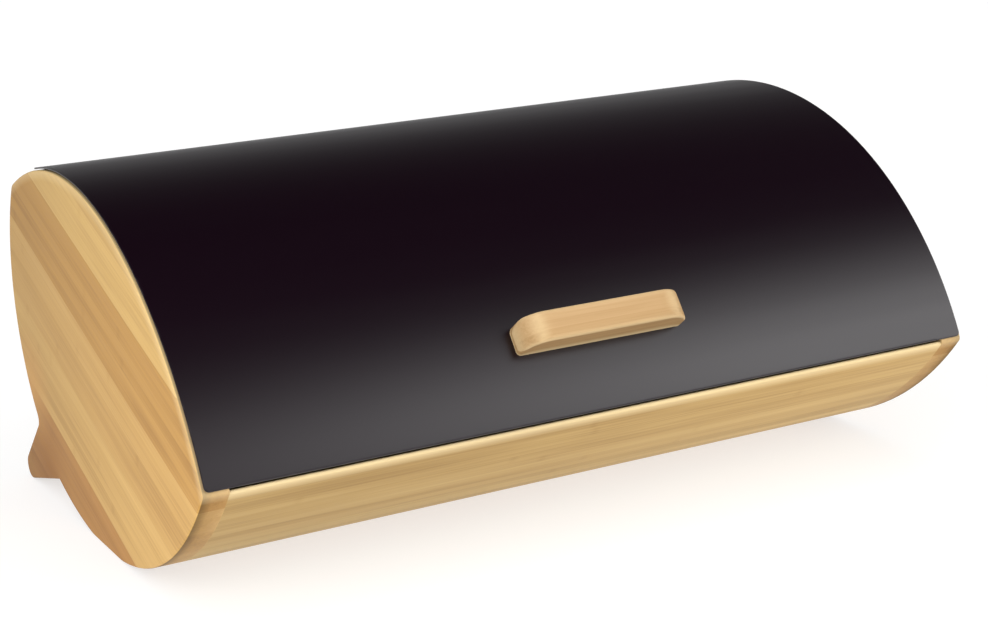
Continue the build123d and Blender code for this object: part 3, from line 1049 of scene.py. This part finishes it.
@dataclass
class Handle:
    """The bamboo bar on the lid, with the screws and washers that hold it from inside."""

    axis: RollAxis = RollAxis()
    radius: float = 180 * MM
    angle_deg: float = -53.9
    length: float = 86 * MM
    height: float = 14 * MM
    reach: float = 14.5 * MM
    end_radius: float = 13.2 * MM
    end_angle_deg: float = 80.0
    upper_corner: float = 4 * MM
    lower_corner: float = 2 * MM
    edge_round: float = 1.5 * MM
    # Grid lines: their counts, and the places of the wall's lines from crest to seat.
    end_lines: int = 29
    length_lines: int = 41
    cross_lines: int = 45
    wall_steps: tuple[float, ...] = (0.0, 0.08, 0.4, 0.65, 1.0)
    # Painted highlight: its share on the crest's border, down by the lid and where the ends turn, and its
    # reach.
    crest_pale: float = 0.35
    seat_pale: float = 0.6
    turn_pale: float = 0.22
    pale_reach: float = 1.05 * MM
    turn_middle: float = 5 * MM
    turn_reach: float = 3.5 * MM
    skin: float = 0.1 * MM

    def crest_end(self) -> float:
        """Give the X place where the level crest starts to fall."""
        return self.length / 2 - self.end_radius * math.sin(math.radians(self.end_angle_deg))

    def crest_height(self, x: np.ndarray, down: np.ndarray) -> np.ndarray:
        """Give the crest's height over the lid.

        The crest is level, falls to each end along a circle that starts level, and falls at its border
        along a quarter circle. The border is an oblong with rounded corners.

        Args:
            x: places along the bar.
            down: places down the lid from the bar's middle.
        Returns:
            One height for each place.
        """
        into_end = np.clip(np.abs(x) - self.crest_end(), 0, self.end_radius)
        level = self.reach - self.end_radius + np.sqrt(self.end_radius**2 - into_end**2)
        corner = np.where(down < 0, self.upper_corner, self.lower_corner)
        beyond = np.maximum(np.abs(x) - self.length / 2 + corner, 0)
        above = np.maximum(np.abs(down) - self.height / 2 + corner, 0)
        corner_gap = corner - np.hypot(beyond, above)
        side_gap = np.minimum(self.length / 2 - np.abs(x), self.height / 2 - np.abs(down))
        gap = np.where((beyond > 0) & (above > 0), corner_gap, side_gap)
        into_edge = np.clip(self.edge_round - gap, 0, self.edge_round)
        return level - self.edge_round + np.sqrt(self.edge_round**2 - into_edge**2)

    def seat_height(self, down: np.ndarray) -> np.ndarray:
        """Give the height of the lid's round under the bar."""
        return np.sqrt(self.radius**2 - down**2) - self.radius

    def build(self) -> bpy.types.Object:
        """Raise the crest over its border, and close it with walls and a seat that follows the lid.

        Returns:
            The handle's object.
        """
        end_turn = np.radians(np.linspace(0, self.end_angle_deg, self.end_lines))
        outer = self.crest_end() + self.end_radius * np.sin(end_turn)
        middle = np.linspace(-outer[0], outer[0], self.length_lines)[1:-1]
        x = np.concatenate([-outer[::-1], middle, outer])[:, None]
        spread = np.sin(np.linspace(-math.pi / 2, math.pi / 2, self.cross_lines))[None, :]
        corner = np.where(spread < 0, self.upper_corner, self.lower_corner)
        beyond = np.clip(np.abs(x) - self.length / 2 + corner, 0, corner)
        down = spread * (self.height / 2 - corner + np.sqrt(corner**2 - beyond**2))
        crest = self.crest_height(x, down)
        seat = self.seat_height(down)

        rows, columns = down.shape
        number = np.arange(rows * columns).reshape(rows, columns)
        ring = np.concatenate([number[0, :-1], number[:-1, -1], number[-1, :0:-1], number[:0:-1, 0]])
        level = np.array(self.wall_steps)[:, None]
        wall = crest.ravel()[ring] * (1 - level) + seat.ravel()[ring] * level
        flat_x = np.broadcast_to(x, down.shape).ravel()
        along = np.concatenate([flat_x, flat_x, np.tile(flat_x[ring], len(level))])
        over = np.concatenate([down.ravel(), down.ravel(), np.tile(down.ravel()[ring], len(level))])
        out = self.radius + np.concatenate([crest.ravel(), seat.ravel(), wall.ravel()])
        turn = math.radians(self.angle_deg)
        y = self.axis.y + out * math.sin(turn) - over * math.cos(turn)
        z = self.axis.z + out * math.cos(turn) + over * math.sin(turn)
        count = rows * columns
        faces = grid_faces(rows, columns) + grid_faces(rows, columns, start=count)
        faces += grid_faces(len(level), len(ring), start=2 * count, closed=True)
        piece = make_piece("bamboo_handle", np.stack([along, y, z], axis=-1), faces, sharp_deg=60.0)
        self.paint_highlights(piece)
        return piece

    def paint_highlights(self, piece: bpy.types.Object) -> None:
        """Store each point's painted highlight: on the crest's border, where its ends begin, and down by
        the lid.

        Args:
            piece: the handle's object.
        """
        x, y, z = point_places(piece)
        turn = math.radians(self.angle_deg)
        out = (y - self.axis.y) * math.sin(turn) + (z - self.axis.z) * math.cos(turn) - self.radius
        down = (z - self.axis.z) * math.sin(turn) - (y - self.axis.y) * math.cos(turn)
        to_border = np.minimum(self.length / 2 - np.abs(x), self.height / 2 - np.abs(down))
        on_border = np.exp(-np.clip(to_border, 0, None) / self.pale_reach)
        on_crest = out > self.crest_height(x, down) - self.skin
        on_seat = out < self.seat_height(down) + self.skin
        edge = on_border * np.where(on_crest, self.crest_pale, np.where(on_seat, self.seat_pale, 0.0))
        from_turn = (np.abs(x) - self.crest_end() - self.turn_middle) / self.turn_reach
        turned = np.where(on_crest, self.turn_pale * np.exp(-(from_turn**2)), 0.0)
        # The painted highlights are stored as the edge attribute.
        store(piece, "edge", np.maximum(edge, turned))

    def dress(self, zinc: bpy.types.Material) -> None:
        """Build the bar and finish it and its fasteners.

        Args:
            zinc: finish of the screws and washers.
        """
        wood = Timber(
            "bamboo_handle_bar",
            Grain.HANDLE,
            boards=("#AC8A5F", "#AC8A5F"),
            first_joint=-400 * MM,
            board_width=400 * MM,
            fibre=1.0 * MM,
            painted_edge_highlights=True,
        ).material()
        piece = self.build()
        piece.data.materials.append(wood)
        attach(piece, "lid")
        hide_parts("handle_bar")
        LOG.info("%s: %d faces", piece.name, len(piece.data.polygons))
        paint("handle_screws", zinc)
        paint("handle_washers", zinc)


@dataclass
class Runners:
    """The brackets inside the lid's ends, with their pins and sleeves."""

    metal: tuple[str, ...] = (
        "left_runner_bracket",
        "right_runner_bracket",
        "left_guide_pins",
        "right_guide_pins",
    )
    plastic: tuple[str, ...] = ("left_guide_sleeves", "right_guide_sleeves")

    def dress(self, zinc: bpy.types.Material) -> None:
        """Finish the brackets, pins and sleeves.

        Args:
            zinc: finish of the steel pieces.
        """
        nylon = Nylon().material()
        for node in self.metal:
            paint(node, zinc)
        for node in self.plastic:
            paint(node, nylon)


@dataclass(frozen=True)
class Glow:
    """A soft bright patch on the studio's walls, such as a large soft box far away."""

    azimuth_deg: float
    elevation_deg: float
    spread_deg: float
    strength: float
    falloff: float

    def direction(self) -> tuple[float, float, float]:
        """Turn the angles into a direction from the box, with 0 degrees at the front and 90 at the right.

        Returns:
            A unit vector.
        """
        around = math.radians(self.azimuth_deg)
        level = math.cos(math.radians(self.elevation_deg))
        up = math.sin(math.radians(self.elevation_deg))
        return (level * math.sin(around), -level * math.cos(around), up)


@dataclass(frozen=True)
class SoftBox:
    """A square soft box that lights the wood and stays out of the gloss."""

    name: str
    watts: float
    place: tuple[float, float, float]
    target: tuple[float, float, float]
    side: float = 0.6

    def hang(self) -> None:
        """Add the light, turned to its target."""
        light = bpy.data.lights.new(self.name, "AREA")
        light.shape = "SQUARE"
        light.size = self.side
        light.energy = self.watts
        box = bpy.data.objects.new(self.name, light)
        box.location = self.place
        aim = Vector(self.target) - Vector(self.place)
        box.rotation_euler = aim.to_track_quat("-Z", "Y").to_euler()
        box.visible_glossy = False
        bpy.context.scene.collection.objects.link(box)


@dataclass
class Studio:
    """A light table, dim walls with a bright patch at the front right, a top light, and the camera."""

    floor_half: float = 30.0
    floor_colour: str = "#A8A8A8"
    floor_light: float = 0.65
    wall_light: float = 0.34
    wall_foot: float = 0.1
    wall_top: float = 0.8
    wall_falloff: float = 2.0
    ceiling_light: float = 0.02
    patch: Glow = Glow(azimuth_deg=43, elevation_deg=26, spread_deg=43, strength=4.6, falloff=6.0)
    top_light: float = 2.6
    top_spread_deg: float = 110
    top_lean_deg: tuple[float, float] = (18, -14)
    soft_boxes: tuple[SoftBox, ...] = (
        SoftBox("left_soft_box", watts=2.9, place=(-0.70, -0.45, 0.32), target=(-0.2, 0.0, 0.09)),
        SoftBox("right_soft_box", watts=3.0, place=(0.65, -0.75, 0.12), target=(0.12, -0.12, 0.04)),
    )
    camera_place: tuple[float, float, float] = (-0.456619, -0.861542, 0.338460)
    camera_turn_deg: tuple[float, float, float] = (74.7634, 2.2307, -28.9204)
    lens_mm: float = 73.784
    shift: tuple[float, float] = (0.00224, 0.01826)

    def build(self) -> None:
        """Make the floor, the lights and the camera."""
        self.make_floor()
        self.make_world()
        self.make_lights()
        self.make_camera()
        bpy.context.scene.view_settings.view_transform = "Standard"

    def make_floor(self) -> None:
        """Lay the pale floor under the box, lit from below as on a light table."""
        side = np.array([-self.floor_half, self.floor_half])
        x, y = np.meshgrid(side, side)
        points = np.stack([x.ravel(), y.ravel(), np.zeros(4)], axis=-1)
        floor = make_piece("floor", points, grid_faces(2, 2), sharp_deg=30.0)
        material, _, shader = new_material("pale_paper_floor")
        shader.inputs["Base Color"].default_value = linear(self.floor_colour)
        shader.inputs["Roughness"].default_value = 0.95
        shader.inputs["Specular IOR Level"].default_value = 0.1
        shader.inputs["Emission Color"].default_value = (1.0, 1.0, 1.0, 1.0)
        shader.inputs["Emission Strength"].default_value = self.floor_light
        floor.data.materials.append(material)

    def make_world(self) -> None:
        """Paint the walls: dim at the horizon, darker above, with a soft bright patch."""
        world = bpy.data.worlds.new("studio_walls")
        bpy.context.scene.world = world
        world.use_nodes = True
        tree = world.node_tree
        tree.nodes.clear()
        place = add_node(tree, "ShaderNodeTexCoord")
        axes = add_node(tree, "ShaderNodeSeparateXYZ", links={"Vector": place.outputs["Generated"]})
        low = add_node(
            tree,
            "ShaderNodeMapRange",
            {"From Min": self.wall_top, "From Max": self.wall_foot},
            {"Value": axes.outputs["Z"]},
        )
        fall = add_node(
            tree,
            "ShaderNodeMath",
            {"operation": "POWER", 1: self.wall_falloff},
            {0: low.outputs["Result"]},
        )
        walls = add_node(
            tree,
            "ShaderNodeMath",
            {"operation": "MULTIPLY_ADD", 1: self.wall_light, 2: self.ceiling_light},
            {0: fall.outputs[0]},
        )
        nearness = add_node(
            tree,
            "ShaderNodeVectorMath",
            {"operation": "DOT_PRODUCT", 1: self.patch.direction()},
            {0: place.outputs["Generated"]},
        )
        inside = add_node(
            tree,
            "ShaderNodeMapRange",
            {"From Min": math.cos(math.radians(self.patch.spread_deg))},
            {"Value": nearness.outputs["Value"]},
        )
        soft = add_node(
            tree,
            "ShaderNodeMath",
            {"operation": "POWER", 1: self.patch.falloff},
            {0: inside.outputs["Result"]},
        )
        total = add_node(
            tree,
            "ShaderNodeMath",
            {"operation": "MULTIPLY_ADD", 1: self.patch.strength},
            {0: soft.outputs[0], 2: walls.outputs[0]},
        )
        # The backdrop itself is plain white, as the floor is, and only the box is lit by the dim walls.
        seen = add_node(tree, "ShaderNodeLightPath")
        backdrop = add_node(
            tree,
            "ShaderNodeMath",
            {"operation": "MAXIMUM"},
            {0: total.outputs[0], 1: seen.outputs["Is Camera Ray"]},
        )
        glow = add_node(
            tree,
            "ShaderNodeBackground",
            {"Color": (1.0, 1.0, 1.0, 1.0)},
            {"Strength": backdrop.outputs[0]},
        )
        add_node(tree, "ShaderNodeOutputWorld", links={"Surface": glow.outputs["Background"]})

    def make_lights(self) -> None:
        """Hang a wide top light that the gloss doesn't see, and a soft box on either side."""
        sun = bpy.data.lights.new("top_light", "SUN")
        sun.energy = self.top_light
        sun.angle = math.radians(self.top_spread_deg)
        top = bpy.data.objects.new("top_light", sun)
        lean, turn = self.top_lean_deg
        top.rotation_euler = (math.radians(lean), math.radians(turn), 0)
        top.visible_glossy = False
        bpy.context.scene.collection.objects.link(top)
        for box in self.soft_boxes:
            box.hang()

    def make_camera(self) -> None:
        """Stand the camera where the photograph was taken from."""
        lens = bpy.data.cameras.new("camera")
        lens.sensor_width = 36.0
        lens.lens = self.lens_mm
        lens.shift_x, lens.shift_y = self.shift
        lens.clip_start = 0.01
        lens.clip_end = 200.0
        camera = bpy.data.objects.new("camera", lens)
        camera.location = self.camera_place
        camera.rotation_euler = [math.radians(turn) for turn in self.camera_turn_deg]
        bpy.context.scene.collection.objects.link(camera)
        bpy.context.scene.camera = camera


def main() -> None:
    """Build every sub-assembly in order."""
    logging.basicConfig(level=logging.INFO, format="%(name)s %(message)s")
    zinc = ZincPlate().material()
    Carcass().dress()
    LidSheet().dress()
    Handle().dress(zinc)
    Runners().dress(zinc)
    Studio().build()


if __name__ == "__main__":
    main()
